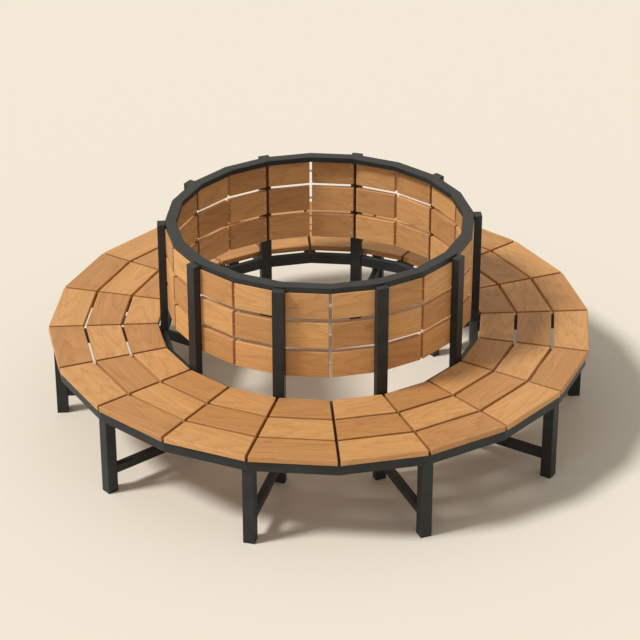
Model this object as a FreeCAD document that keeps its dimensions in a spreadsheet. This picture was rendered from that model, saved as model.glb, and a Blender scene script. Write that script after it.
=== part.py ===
"""Tree bench: a twenty-sided timber seat and backrest on ten welded steel frames.

The origin is on the ground at the middle of the bench, +Z is up and the front is towards -Y.
Boards meet at the corners of a regular polygon, and a joint is the line from the middle through
such a corner. Every second joint has a frame: an outer leg, a back post, a stretcher and a bearer.
The two sides of the polygon between neighbouring frames are a bay, with a plain joint in its
middle. Bay 1 is at the front and frame 1 is on its right, and both are counted anticlockwise.
Each kind of piece is modelled once beside the +X axis, and its copies are turned about Z.
The steel rings come in a front and a rear half, which are bolted together round the trunk.
"""
import FreeCAD, Part
import math
import os
import Sketcher

Vector = FreeCAD.Vector
UP = Vector(0, 0, 1)
SEAT_ROWS = 3
BACK_ROWS = 3
WELD_SIDE = "sizes.weld_gap / 2"
HANDS = {1: "right", -1: "left"}

# Driving sizes, in millimetres
SIZES = {
    "frames": 10,
    "seat_corner_radius": 1200,
    "seat_height": 430,
    "seat_board_width": 150,
    "seat_board_thickness": 26,
    "seat_row_gap": 13,
    "seat_joint_gap": 12,
    "board_arris": 3,
    "rim_height": 50,
    "outer_rim_width": 30,
    "outer_rim_setback": 10,
    "inner_rim_width": 25,
    "inner_rim_setback": 3,
    "tube_wall": 3,
    "tube_corner": 2.5,
    "weld_gap": 0.5,
    "leg_side": 50,
    "leg_setback": 8,
    "bearer_width": 50,
    "bearer_wall": 4,
    "stretcher_height": 40,
    "stretcher_width": 30,
    "stretcher_level": 80,
    "post_width": 50,
    "post_depth": 35,
    "post_clearance": 12,
    "post_drop": 7,
    "back_board_height": 118,
    "back_board_thickness": 25,
    "back_row_gap": 19,
    "back_joint_gap": 12,
    "back_lift": 82,
    "rail_height": 25,
    "rail_width": 50,
    "rail_bearing_depth": 2.5,
    "foot_thickness": 5,
    "cap_thickness": 4,
    "plug_length": 20,
    "plug_clearance": 0.3,
    "tongue_width": 14,
    "tongue_height": 6,
    "tongue_grip": 24,
    "spigot_reach": 80,
    "spigot_thickness": 9,
    "spigot_clearance": 0.5,
    "cleat_wall": 5,
    "cleat_drop": 35,
    "cleat_reach": 45,
    "block_setback": 3,
    "block_length": 40,
    "block_height": 20,
    "bolt_diameter": 8,
    "bolt_length": 16,
    "bolt_clearance": 1,
    "bolt_head_width": 13,
    "bolt_head_height": 5.5,
    "splice_bolt_offset": 48,
    "cleat_bolt_offset": 24,
}

# Places worked out from the driving sizes. A reach is a distance from the middle of the bench,
# measured square to a side of the polygon: a corner is as far out as the reach over the cosine.
PLACES = {
    "half_angle": "180 deg / (2 * round(sizes.frames))",
    "seat_outer": "sizes.seat_corner_radius * cos(half_angle)",
    "seat_pitch": "sizes.seat_board_width + sizes.seat_row_gap",
    "seat_inner": "seat_outer - %d * seat_pitch + sizes.seat_row_gap" % SEAT_ROWS,
    "seat_underside": "sizes.seat_height - sizes.seat_board_thickness",
    "rim_underside": "seat_underside - sizes.rim_height",
    "outer_rim_outer": "seat_outer - sizes.outer_rim_setback",
    "outer_rim_inner": "outer_rim_outer - sizes.outer_rim_width",
    "leg_outer": "outer_rim_outer / cos(half_angle) - sizes.leg_setback",
    "leg_inner": "leg_outer - sizes.leg_side",
    "post_outer": "seat_inner / cos(half_angle) - sizes.post_clearance",
    "post_inner": "post_outer - sizes.post_depth",
    "post_side": "sizes.post_width / 2",
    "inner_rim_outer": "post_outer * cos(half_angle) + post_side * sin(half_angle) - sizes.inner_rim_setback",
    "inner_rim_inner": "inner_rim_outer - sizes.inner_rim_width",
    "back_outer": "post_inner * cos(half_angle) + post_side * sin(half_angle)",
    "back_inner": "back_outer - sizes.back_board_thickness",
    "back_underside": "sizes.seat_height + sizes.back_lift",
    "back_pitch": "sizes.back_board_height + sizes.back_row_gap",
    "rail_underside": "back_underside + %d * back_pitch - sizes.back_row_gap" % BACK_ROWS,
    "rail_outer": "(post_inner + sizes.rail_bearing_depth) * cos(half_angle)",
    "rail_inner": "rail_outer - sizes.rail_width",
    "rail_flat": "sizes.rail_bearing_depth / tan(half_angle)",
    "post_top": "rail_underside + sizes.rail_height - sizes.post_drop - sizes.cap_thickness",
    "back_middle": "(back_outer + back_inner) / 2",
    "tongue_length": "sizes.back_joint_gap + 2 * sizes.tongue_grip",
    "tongue_middle": "(back_middle - (sizes.back_joint_gap + sizes.tongue_grip) / 2 * sin(half_angle))"
                     " / cos(half_angle)",
    "tongue_underside": "back_underside + (sizes.back_board_height - sizes.tongue_height) / 2",
    "spigot_inner": "outer_rim_inner + sizes.tube_wall",
    "splice_bolt_level": "rim_underside + sizes.rim_height / 2",
    "rail_bolt_reach": "(rail_inner + back_inner) / 2",
    "post_middle": "(post_outer + post_inner) / 2",
}

doc = FreeCAD.newDocument("tree_bench")


def sheet(name, cells):
    made = doc.addObject("Spreadsheet::Sheet", name)
    for row, (alias, content) in enumerate(cells.items(), start=1):
        made.set("A%d" % row, alias)
        made.set("B%d" % row, content)
        made.setAlias("B%d" % row, alias)
    return made


sizes = sheet("sizes", {alias: str(number) for alias, number in SIZES.items()})
places = sheet("places", {alias: "=" + formula for alias, formula in PLACES.items()})
doc.recompute()


def value(expression):
    return float(sizes.evalExpression(expression))


# Corners and outlines in plan, as pairs of expressions for x and y

def at_joint(reach, offset):
    """The corner of a face at this reach, on a cut that runs beside the joint at this offset."""
    across = "(%s - (%s) * sin(places.half_angle)) / cos(places.half_angle)" % (reach, offset)
    return across, offset


def at_far_joint(corner):
    """The like corner at the other end of the side, beside the next joint."""
    x, y = corner
    return ("(%s) * cos(2 * places.half_angle) + (%s) * sin(2 * places.half_angle)" % (x, y),
            "(%s) * sin(2 * places.half_angle) - (%s) * cos(2 * places.half_angle)" % (x, y))


def side_strip(inner, outer, near, far):
    """A length along one side, between two reaches, with each end cut parallel to its joint."""
    return [at_joint(inner, near), at_joint(outer, near),
            at_far_joint(at_joint(outer, far)), at_far_joint(at_joint(inner, far))]


def short_strip(inner, outer, near, far):
    """A length along one side, between two reaches, with both ends cut parallel to the near joint."""
    return [at_joint(inner, near), at_joint(outer, near), at_joint(outer, far), at_joint(inner, far)]


def block(start, end, right, left):
    """A rectangle square to the X axis."""
    return [(start, right), (end, right), (end, left), (start, left)]


def across_joint(start, end, width):
    """A rectangle that lies evenly on both sides of the joint."""
    return block(start, end, "-(%s) / 2" % width, "(%s) / 2" % width)


def handed(outline, hand):
    """The outline as it is for hand 1, and mirrored to the other side of the joint for hand -1."""
    return [(x, "%d * (%s)" % (hand, y)) for x, y in outline]


def both_sides(half):
    """An outline from its half of four corners, of which the first and the last are on the joint."""
    return half + handed([half[2], half[1]], -1)


# Sketches and features

def new_body(name):
    return doc.addObject("PartDesign::Body", name)


def plan_sketch(body, name, level):
    sketch = body.newObject("Sketcher::SketchObject", name)
    sketch.AttachmentSupport = [(datum, "") for datum in body.Origin.OriginFeatures
                                if datum.Role == "XY_Plane"]
    sketch.MapMode = "FlatFace"
    sketch.setExpression("AttachmentOffset.Base.z", level)
    return sketch


def hold(sketch, index, point, corner):
    """Hold a point of the sketch at the x and y that the two expressions give."""
    for kind, expression in zip(("DistanceX", "DistanceY"), corner):
        held = sketch.addConstraint(Sketcher.Constraint(kind, -1, 1, index, point, value(expression)))
        sketch.setExpression("Constraints[%d]" % held, expression)


def draw_outline(sketch, outline):
    points = [Vector(value(x), value(y), 0) for x, y in outline]
    first = sketch.GeometryCount
    count = len(points)
    for number in range(count):
        sketch.addGeometry(Part.LineSegment(points[number], points[(number + 1) % count]), False)
    for number in range(count):
        following = first + (number + 1) % count
        sketch.addConstraint(Sketcher.Constraint("Coincident", first + number, 2, following, 1))
        hold(sketch, first + number, 1, outline[number])


def plan_feature(body, kind, name, level, height, outlines):
    """A pad or a pocket that goes up by a height from outlines in plan at a level."""
    sketch = plan_sketch(body, name + "_plan", level)
    for outline in outlines:
        draw_outline(sketch, outline)
    feature = body.newObject(kind, name)
    feature.Profile = sketch
    feature.Reversed = kind == "PartDesign::Pocket"
    feature.setExpression("Length", height)
    return feature


def pad(body, name, level, height, outlines):
    return plan_feature(body, "PartDesign::Pad", name, level, height, outlines)


def pocket(body, name, level, height, outlines):
    return plan_feature(body, "PartDesign::Pocket", name, level, height, outlines)


def built(body):
    """The last feature of the body so far, with its shape worked out."""
    doc.recompute()
    return body.Tip


def chamfer(body, name, chosen, size):
    """A chamfer along those edges of the body so far that the test chooses."""
    base = built(body)
    edges = ["Edge%d" % number for number, edge in enumerate(base.Shape.Edges, start=1) if chosen(edge)]
    feature = body.newObject("PartDesign::Chamfer", name)
    feature.Base = (base, edges)
    feature.setExpression("Size", size)


def is_upright(edge):
    rise = abs(edge.Vertexes[0].Z - edge.Vertexes[-1].Z)
    return rise > 0 and math.isclose(rise, edge.Length)


def chamfer_tube(body, name):
    """The four corners of a tube, which are its longest edges."""
    longest = max(edge.Length for edge in built(body).Shape.Edges)
    chamfer(body, name, lambda edge: edge.Length > longest / 2, "sizes.tube_corner")


# Boards

def seat_boards():
    """Six boards of one bay: three rows on each side of the bay's plain joint."""
    body = new_body("seat_boards")
    gap = "sizes.seat_joint_gap / 2"
    outlines = []
    for row in range(SEAT_ROWS):
        outer = "places.seat_outer - %d * places.seat_pitch" % row
        board = side_strip(outer + " - sizes.seat_board_width", outer, gap, gap)
        outlines += [handed(board, hand) for hand in (1, -1)]
    pad(body, "seat_board", "places.seat_underside", "sizes.seat_board_thickness", outlines)
    top = value("sizes.seat_height")

    def at_top(edge):
        return all(math.isclose(vertex.Z, top) for vertex in edge.Vertexes)

    chamfer(body, "seat_arris", at_top, "sizes.board_arris")
    return body


def back_boards():
    """Six boards of one bay, standing on edge, planed flat where the posts bear on them."""
    body = new_body("back_boards")
    gap = "sizes.back_joint_gap / 2"
    board = [at_joint("places.back_inner", gap), at_joint("places.back_outer", gap),
             at_far_joint(("places.post_inner", "places.post_side")),
             at_far_joint(("places.post_inner", gap)),
             at_far_joint(at_joint("places.back_inner", gap))]
    for row in range(BACK_ROWS):
        level = "places.back_underside + %d * places.back_pitch" % row
        pad(body, "back_board_row_%d" % (row + 1), level, "sizes.back_board_height",
            [handed(board, hand) for hand in (1, -1)])
    end_length = 2 * value("sizes.back_board_thickness")

    def along_board(edge):
        return edge.Length > end_length and not is_upright(edge)

    chamfer(body, "back_arris", along_board, "sizes.board_arris")
    across_plain_joint(pocket, body, "tongue_slot")
    return body


def across_plain_joint(make, body, name):
    """The tongues of a bay, or their slots, one in each row of back boards."""
    outline = across_joint("places.tongue_middle - sizes.tongue_width / 2",
                           "places.tongue_middle + sizes.tongue_width / 2", "places.tongue_length")
    for row in range(BACK_ROWS):
        level = "places.tongue_underside + %d * places.back_pitch" % row
        make(body, "%s_%d" % (name, row + 1), level, "sizes.tongue_height", [outline])


def loose_tongues():
    """Flat bars of one bay, which keep the ends of its back boards in line across the plain joint."""
    body = new_body("bay_tongues")
    across_plain_joint(pad, body, "tongue")
    return body


# Rings

def ring_length(ring, hand, outline, inner, outer, level, height):
    """One tube length of a ring, with its bore open at both cut ends."""
    body = new_body("%s_length_%s" % (ring, HANDS[hand]))
    pad(body, ring + "_tube", level, height, [handed(outline, hand)])
    chamfer_tube(body, ring + "_corners")
    past_end = "-" + height
    bore = side_strip(inner + " + sizes.tube_wall", outer + " - sizes.tube_wall", past_end, past_end)
    pocket(body, ring + "_bore", level + " + sizes.tube_wall", height + " - 2 * sizes.tube_wall",
           [handed(bore, hand)])
    return body


def outer_rim_length(hand):
    """Mitred at both ends, under the outer edge of the seat."""
    inner, outer = "places.outer_rim_inner", "places.outer_rim_outer"
    outline = side_strip(inner, outer, WELD_SIDE, WELD_SIDE)
    return ring_length("outer_rim", hand, outline, inner, outer, "places.rim_underside", "sizes.rim_height")


def inner_rim_length(hand):
    """Mitred at the plain joint, and cut to lie against the side of the post."""
    inner, outer = "places.inner_rim_inner", "places.inner_rim_outer"
    outline = side_strip(inner, outer, WELD_SIDE, "places.post_side")
    return ring_length("inner_rim", hand, outline, inner, outer, "places.rim_underside", "sizes.rim_height")


def top_rail_length(hand):
    """Mitred at both ends, with the corner at the frame dressed flat for the post."""
    inner, outer = "places.rail_inner", "places.rail_outer"
    outline = [at_joint(inner, WELD_SIDE), at_joint(outer, WELD_SIDE),
               at_far_joint(("places.post_inner", "places.rail_flat")),
               at_far_joint(("places.post_inner", WELD_SIDE)),
               at_far_joint(at_joint(inner, WELD_SIDE))]
    return ring_length("top_rail", hand, outline, inner, outer, "places.rail_underside", "sizes.rail_height")


# Frames

def upright(name, inner, outer, width, top):
    """A tube that stands on its foot plug."""
    body = new_body(name)
    height = top + " - sizes.foot_thickness"
    pad(body, name + "_tube", "sizes.foot_thickness", height, [across_joint(inner, outer, width)])
    chamfer_tube(body, name + "_corners")
    bore = across_joint(inner + " + sizes.tube_wall", outer + " - sizes.tube_wall",
                        "(%s - 2 * sizes.tube_wall)" % width)
    pocket(body, name + "_bore", "sizes.foot_thickness", height, [bore])
    return body


def end_plug(name, inner, outer, width, plate_level, plate_thickness, insert_level):
    """A plate over the end of an upright, with an insert that slides into its bore."""
    body = new_body(name)
    room = "(sizes.tube_wall + sizes.plug_clearance)"
    insert = across_joint("%s + %s" % (inner, room), "%s - %s" % (outer, room),
                          "(%s - 2 * %s)" % (width, room))
    pad(body, name + "_plate", plate_level, plate_thickness, [across_joint(inner, outer, width)])
    chamfer(body, name + "_corners", is_upright, "sizes.tube_corner")
    pad(body, name + "_insert", insert_level, "sizes.plug_length", [insert])
    return body


def leg_foot_plug():
    return end_plug("leg_foot_plug", "places.leg_inner", "places.leg_outer", "sizes.leg_side",
                    "0", "sizes.foot_thickness", "sizes.foot_thickness")


def post_foot_plug():
    return end_plug("post_foot_plug", "places.post_inner", "places.post_outer", "sizes.post_width",
                    "0", "sizes.foot_thickness", "sizes.foot_thickness")


def post_cap():
    return end_plug("post_cap", "places.post_inner", "places.post_outer", "sizes.post_width",
                    "places.post_top", "sizes.cap_thickness", "places.post_top - sizes.plug_length")


def bearer(name, inner_end):
    """A channel, open below, whose pointed outer end fits into the corner of the outer rim."""
    body = new_body(name)
    half = inner_end + [at_joint("places.outer_rim_inner", "sizes.bearer_width / 2"),
                        at_joint("places.outer_rim_inner", "0")]
    pad(body, name + "_web", "places.rim_underside", "sizes.rim_height", [both_sides(half)])
    hollow = across_joint("places.inner_rim_inner", "places.outer_rim_outer",
                          "(sizes.bearer_width - 2 * sizes.bearer_wall)")
    pocket(body, name + "_hollow", "places.rim_underside", "sizes.rim_height - sizes.bearer_wall", [hollow])
    return body


def frame_bearer():
    """From the outer face of the post."""
    return bearer("frame_bearer", [("places.post_outer", "0"),
                                   ("places.post_outer", "sizes.bearer_width / 2")])


def middle_bearer():
    """From the outer corner of the inner rim, over which its end is notched."""
    return bearer("middle_bearer", [at_joint("places.inner_rim_outer", "0"),
                                    at_joint("places.inner_rim_outer", "sizes.bearer_width / 2")])


def stretcher():
    """A low tube from the leg to the post."""
    body = new_body("stretcher")
    inner, outer = "places.post_outer", "places.leg_inner"
    pad(body, "stretcher_tube", "sizes.stretcher_level", "sizes.stretcher_height",
        [across_joint(inner, outer, "sizes.stretcher_width")])
    chamfer_tube(body, "stretcher_corners")
    pocket(body, "stretcher_bore", "sizes.stretcher_level + sizes.tube_wall",
           "sizes.stretcher_height - 2 * sizes.tube_wall",
           [across_joint(inner, outer, "(sizes.stretcher_width - 2 * sizes.tube_wall)")])
    return body


# Joining pieces of the two halves

def spigot(name, inner, outer, level, height):
    """A bar bent to the angle of a ring, half in the tube end of each half of the bench."""
    body = new_body(name)
    half = [at_joint(inner, "0"), at_joint(inner, "sizes.spigot_reach"),
            at_joint(outer, "sizes.spigot_reach"), at_joint(outer, "0")]
    pad(body, name + "_bar", level, height, [both_sides(half)])
    return body


def rim_spigot():
    """It is drawn up against the inner wall of the outer rim."""
    room = "(sizes.tube_wall + sizes.spigot_clearance)"
    return spigot("rim_spigot", "places.spigot_inner", "places.spigot_inner + sizes.spigot_thickness",
                  "places.rim_underside + " + room, "sizes.rim_height - 2 * " + room)


def rail_spigot():
    """It is drawn down onto the floor of the top rail."""
    room = "(sizes.tube_wall + sizes.spigot_clearance)"
    return spigot("rail_spigot", "places.rail_inner + " + room, "places.rail_outer - " + room,
                  "places.rail_underside + sizes.tube_wall", "sizes.spigot_thickness")


def rim_end_block(hand):
    """A threaded block, welded into the end of the inner rim beside the post."""
    body = new_body("rim_end_block_" + HANDS[hand])
    room = "(sizes.tube_wall + sizes.plug_clearance)"
    near = "places.post_side + sizes.block_setback"
    outline = short_strip("places.inner_rim_inner + " + room, "places.inner_rim_outer - " + room,
                          near, near + " + sizes.block_length")
    pad(body, "end_block", "places.rim_underside + sizes.tube_wall", "sizes.block_height",
        [handed(outline, hand)])
    return body


def rim_cleat(hand):
    """An angle on the side of the post, which carries the end of the inner rim."""
    body = new_body("rim_cleat_" + HANDS[hand])
    inner = "places.post_inner + sizes.tube_wall"
    outer = "places.post_outer - sizes.tube_wall"
    side = "places.post_side"
    pad(body, "cleat_upright", "places.rim_underside - sizes.cleat_drop", "sizes.cleat_drop",
        [handed(block(inner, outer, side, side + " + sizes.cleat_wall"), hand)])
    pad(body, "cleat_shelf", "places.rim_underside - sizes.cleat_wall", "sizes.cleat_wall",
        [handed(block(inner, outer, side, side + " + sizes.cleat_reach"), hand)])
    return body


def round_bar(name, diameter, start):
    """A bar that points up, from a level at or below the origin to the tip of a bolt."""
    bar = doc.addObject("Part::Cylinder", name)
    bar.setExpression("Radius", "(%s) / 2" % diameter)
    bar.setExpression("Height", "sizes.bolt_length - (%s)" % start)
    bar.setExpression("Placement.Base.z", start)
    return bar


def bolt():
    """A hexagon bolt that points up, with the underside of its head at the origin."""
    head = doc.addObject("Part::Prism", "bolt_head")
    head.Polygon = 6
    head.setExpression("Circumradius", "sizes.bolt_head_width / 2 / cos(30 deg)")
    head.setExpression("Height", "sizes.bolt_head_height")
    head.setExpression("Placement.Base.z", "-sizes.bolt_head_height")
    shank = round_bar("bolt_shank", "sizes.bolt_diameter", "0")
    made = doc.addObject("Part::Fuse", "bolt")
    made.Base = head
    made.Tool = shank
    return made


# Copies, groups and drilled pieces

frames = round(SIZES["frames"])
step = 180 / frames
quarter = frames // 4
split_frames = {quarter + 1: 1, frames - quarter: -1}
half_bays = {"front": [bay % frames + 1 for bay in range(-quarter, quarter + 1)],
             "rear": [bay % frames + 1 for bay in range(quarter + 1, frames - quarter)]}
nodes = []


def turned(joint):
    """The turn from +X to a joint, counted anticlockwise from the one at the front."""
    return FreeCAD.Placement(Vector(), FreeCAD.Rotation(UP, step * joint - 90))


def bay_turn(bay):
    return turned(2 * (bay - 1))


def frame_turn(frame):
    return turned(2 * frame - 1)


def copy(source, label, placement):
    made = doc.addObject("App::Link", label)
    made.LinkedObject = source
    made.Label = label
    made.Placement = placement
    return made


def copies(source, label, placements):
    return [copy(source, "%s_%02d" % (label, number), placement)
            for number, placement in enumerate(placements, start=1)]


def group(label, members):
    made = doc.addObject("Part::Compound", label)
    made.Links = members
    made.Label = label
    return made


def drilled(label, base, drills):
    made = doc.addObject("Part::Cut", label)
    made.Base = base
    made.Tool = drills
    made.Label = label
    return made


def bolt_spots(corner, level, outwards):
    """Bolt places beside the split joints, in the rear half. They point up, or square out of the ring."""
    x, y = (value(part) for part in corner)
    angle = math.radians(step / 2)
    spots = []
    for frame, hand in split_frames.items():
        pointing = Vector(math.cos(angle), hand * math.sin(angle), 0) if outwards else UP
        spot = FreeCAD.Placement(Vector(x, hand * y, value(level)), FreeCAD.Rotation(UP, pointing))
        spots.append(frame_turn(frame).multiply(spot))
    return spots


every_bay = [bay_turn(bay) for bay in range(1, frames + 1)]
every_frame = [frame_turn(frame) for frame in range(1, frames + 1)]
split_turns = [frame_turn(frame) for frame in split_frames]

# One node for each leg and post, and one for the boards of each bay
leg = upright("leg", "places.leg_inner", "places.leg_outer", "sizes.leg_side", "places.rim_underside")
post = upright("post", "places.post_inner", "places.post_outer", "sizes.post_width", "places.post_top")
nodes += copies(leg, "outer_leg", every_frame)
nodes += copies(post, "back_post", every_frame)
nodes += copies(seat_boards(), "seat_boards_bay", every_bay)
nodes += copies(back_boards(), "back_boards_bay", every_bay)

# Pieces that are the same at every frame or in every bay share a node
for make, label, turns in ((frame_bearer, "frame_bearers", every_frame),
                           (middle_bearer, "middle_bearers", every_bay),
                           (stretcher, "stretchers", every_frame),
                           (leg_foot_plug, "leg_foot_plugs", every_frame),
                           (post_foot_plug, "post_foot_plugs", every_frame),
                           (post_cap, "post_caps", every_frame),
                           (loose_tongues, "loose_tongues", every_bay)):
    nodes.append(group(label, copies(make(), label + "_piece", turns)))

# The rings, each in two halves, of which the rear one is drilled for the bolts at the split joints
bolt_shape = bolt()
drill_start = "-sizes.bolt_clearance"
clearance_drill = round_bar("clearance_drill", "sizes.bolt_diameter + sizes.bolt_clearance", drill_start)
thread_drill = round_bar("thread_drill", "sizes.bolt_diameter", drill_start)
spots = {
    "rim": bolt_spots(at_joint("places.outer_rim_inner", "sizes.splice_bolt_offset"),
                      "places.splice_bolt_level", True),
    "rail": bolt_spots(at_joint("places.rail_bolt_reach", "sizes.splice_bolt_offset"),
                       "places.rail_underside", False),
    "cleat": bolt_spots(("places.post_middle", "places.post_side + sizes.cleat_bolt_offset"),
                        "places.rim_underside - sizes.cleat_wall", False),
}
clearance = {place: group(place + "_clearance_drills", copies(clearance_drill, place + "_clearance", turns))
             for place, turns in spots.items()}
thread = {place: group(place + "_thread_drills", copies(thread_drill, place + "_thread", turns))
          for place, turns in spots.items()}

for make, label, place in ((outer_rim_length, "outer_rim", "rim"),
                           (inner_rim_length, "inner_rim", "cleat"),
                           (top_rail_length, "top_rail", "rail")):
    lengths = [make(1), make(-1)]
    halves = {half: [copy(length, "%s_%s_length" % (label, half), bay_turn(bay))
                     for bay in bays for length in lengths]
              for half, bays in half_bays.items()}
    nodes.append(group(label + "_front", halves["front"]))
    nodes.append(drilled(label + "_rear", group(label + "_rear_lengths", halves["rear"]), clearance[place]))

for make, label, place in ((rim_spigot, "rim_spigots", "rim"), (rail_spigot, "rail_spigots", "rail")):
    bars = group(label + "_bars", copies(make(), label + "_bar", split_turns))
    nodes.append(drilled(label, bars, thread[place]))
for make, label, drills in ((rim_end_block, "rim_end_blocks", thread), (rim_cleat, "rim_cleats", clearance)):
    pair = [copy(make(hand), label + "_piece", frame_turn(frame)) for frame, hand in split_frames.items()]
    nodes.append(drilled(label, group(label + "_pair", pair), drills["cleat"]))
nodes.append(group("splice_bolts", copies(bolt_shape, "splice_bolt", sum(spots.values(), []))))

# The STEP files, once every object and every solid is sound
doc.recompute()
failed = [made.Name for made in doc.Objects if {"Invalid", "Error"} & set(made.State)]
if failed:
    raise RuntimeError("not built: " + ", ".join(failed))
os.makedirs("parts", exist_ok=True)
shapes = {node.Label: Part.getShape(node) for node in nodes}
for label, shape in shapes.items():
    if shape.isNull() or not shape.isValid() or not shape.Solids:
        raise RuntimeError("unsound shape: " + label)
for label, shape in shapes.items():
    shape.exportStep("parts/%s.step" % label)
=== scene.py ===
import math

import bpy
import numpy as np
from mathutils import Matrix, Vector


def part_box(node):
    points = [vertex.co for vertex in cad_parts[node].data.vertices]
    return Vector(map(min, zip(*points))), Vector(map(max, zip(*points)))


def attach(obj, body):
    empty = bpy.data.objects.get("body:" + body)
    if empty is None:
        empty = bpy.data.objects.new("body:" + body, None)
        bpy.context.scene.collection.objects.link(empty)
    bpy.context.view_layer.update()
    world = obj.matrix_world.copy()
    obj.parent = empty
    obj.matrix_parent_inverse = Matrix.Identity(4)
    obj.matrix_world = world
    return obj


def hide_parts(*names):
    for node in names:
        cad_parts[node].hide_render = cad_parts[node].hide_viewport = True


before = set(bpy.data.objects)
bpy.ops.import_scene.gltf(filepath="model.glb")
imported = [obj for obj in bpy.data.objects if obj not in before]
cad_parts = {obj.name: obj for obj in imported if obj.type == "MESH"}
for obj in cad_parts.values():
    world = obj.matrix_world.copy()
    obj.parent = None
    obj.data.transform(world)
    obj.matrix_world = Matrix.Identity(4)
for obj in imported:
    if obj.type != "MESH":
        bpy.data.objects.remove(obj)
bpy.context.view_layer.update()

# Outer legs: ten square tubes of mild steel with rounded corners, one at every second joint of the
# seat. They are sawn, filed and welded, and then the whole frame is coated with a fine anthracite
# powder, which leaves a faint orange peel.
FRAMES = 10
SIDE_ANGLE = math.pi / FRAMES
TUBE_WALL = 0.003
TUBE_CORNER = 0.0035
BORE_CORNER = 0.0005
FILED_EDGE = 0.0004
ARC_STEPS = 4
QUARTER_TURN = np.linspace(0, np.pi / 2, ARC_STEPS + 1)
ANTHRACITE = (0.0185, 0.0210, 0.0220, 1)
ANTHRACITE_CHALKY = (0.0300, 0.0325, 0.0340, 1)
CLOUDS_PER_METRE = 9
CHALKY_CLOUD = (0.42, 0.72)
SATIN = (0.36, 0.56)
PEBBLES_PER_METRE = 620
PEBBLE_HEIGHT = 0.0004


def joint_angle(joint):
    """The direction of a joint, counted anticlockwise from the one at the front."""
    return np.asarray(joint) * SIDE_ANGLE - math.pi / 2


def about_z(points, angles):
    """Copies of the points, each turned about the upright axis through the middle by its angle."""
    turns = np.atleast_1d(angles)
    matrix = np.array([[np.cos(turns), -np.sin(turns)], [np.sin(turns), np.cos(turns)]])
    plan = np.einsum("ijn,...j->n...i", matrix, points[..., :2])
    level = np.broadcast_to(points[..., 2:], plan.shape[:-1] + (1,))
    return np.concatenate([plan, level], axis=-1)


def rounded(width, height, radius, inset=0.0):
    """Points anticlockwise round a rectangle, each corner a quarter circle of the radius less the
    inset, about a centre that stays where it is."""
    turn = np.arange(4)[:, None] * np.pi / 2 + QUARTER_TURN
    corners = np.array([[1, 1], [-1, 1], [-1, -1], [1, -1]])
    centres = corners * (width / 2 - radius, height / 2 - radius)
    circle = np.stack([np.cos(turn), np.sin(turn)], axis=-1)
    return (centres[:, None] + (radius - inset) * circle).reshape(-1, 2)


def skin(rings, crisp=(), closed=False, folded=False):
    """Points, faces and crisp rings of a skin over rings[copy, station, point]. Each ring goes
    anticlockwise about the way ahead. A closed run joins its last ring to its first, and an open
    one ends in flat faces, or in a strip across the middle where the profile doubles back."""
    copies, stations, around = rings.shape[:3]
    index = np.arange(copies * stations * around).reshape(copies, stations, around)
    here = index if closed else index[:, :-1]
    ahead = np.roll(index, -1, axis=1) if closed else index[:, 1:]
    corners = [here, np.roll(here, -1, 2), np.roll(ahead, -1, 2), ahead]
    faces = [np.stack(corners, axis=-1).reshape(-1, 4)]
    if folded:
        ends = index[:, [0, -1]]
        out, back = ends[..., :around // 2], ends[..., :around // 2 - 1:-1]
        strip = np.stack([out[..., :-1], out[..., 1:], back[..., 1:], back[..., :-1]], axis=-1)
        faces += [strip[:, 0, :, ::-1].reshape(-1, 4), strip[:, 1].reshape(-1, 4)]
    elif not closed:
        faces += [index[:, 0, ::-1], index[:, -1]]
    named = np.isin(np.arange(stations), np.asarray(crisp, int) % stations)
    ring_number = np.arange(copies * stations).reshape(copies, stations, 1)
    crisp_ring = np.broadcast_to(np.where(named[:, None], ring_number, -1), index.shape)
    return rings.reshape(-1, 3), faces, crisp_ring.ravel()


def piece_of(name, *skins):
    """One piece of one or more skins, smooth but for the edges that lie in their crisp rings."""
    points, faces, crisp_rings = [], [], []
    first, first_ring = 0, 0
    for skin_points, skin_faces, skin_rings in skins:
        points.append(skin_points)
        for like_faces in skin_faces:
            faces += (like_faces + first).tolist()
        crisp_rings.append(np.where(skin_rings < 0, -1, skin_rings + first_ring))
        first += len(skin_points)
        first_ring += skin_rings.max() + 1
    mesh = bpy.data.meshes.new(name)
    mesh.from_pydata(np.concatenate(points).tolist(), [], faces)
    ends = np.empty(len(mesh.edges) * 2, int)
    mesh.edges.foreach_get("vertices", ends)
    start_ring, end_ring = np.concatenate(crisp_rings)[ends.reshape(-1, 2)].T
    sharp = mesh.attributes.new("sharp_edge", "BOOLEAN", "EDGE")
    sharp.data.foreach_set("value", (start_ring >= 0) & (start_ring == end_ring))
    mesh.shade_smooth()
    piece = bpy.data.objects.new(name, mesh)
    bpy.context.scene.collection.objects.link(piece)
    piece.modifiers.new("flats", "WEIGHTED_NORMAL").keep_sharp = True
    return piece


def fitted(piece, material, slot, *replaced):
    """Gives a piece its finish, rides it on the one body and lets it stand for CAD nodes."""
    piece.data.materials.append(material)
    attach(piece, "root")
    if replaced:
        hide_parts(*replaced)


def node(tree, kind, inputs=(), **settings):
    """A shader node. Each input is given a value, or the output that feeds it."""
    made = tree.nodes.new("ShaderNode" + kind)
    for setting, choice in settings.items():
        setattr(made, setting, choice)
    for socket, source in dict(inputs).items():
        if isinstance(source, bpy.types.NodeSocket):
            tree.links.new(source, made.inputs[socket])
        else:
            made.inputs[socket].default_value = source
    return made


def noise(tree, place, scale, detail=2):
    """Clouds about as many to the metre as the scale, each with finer ones on it."""
    return node(tree, "TexNoise", {"Vector": place, "Scale": scale, "Detail": detail}).outputs["Fac"]


def between(tree, source, reach, result=(0, 1)):
    """The source's share of the way through its reach, as the like share of the way through the
    result. What lies outside the reach is held at its ends."""
    inputs = {"Value": source, "From Min": reach[0], "From Max": reach[1],
              "To Min": result[0], "To Max": result[1]}
    return node(tree, "MapRange", inputs).outputs["Result"]


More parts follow.
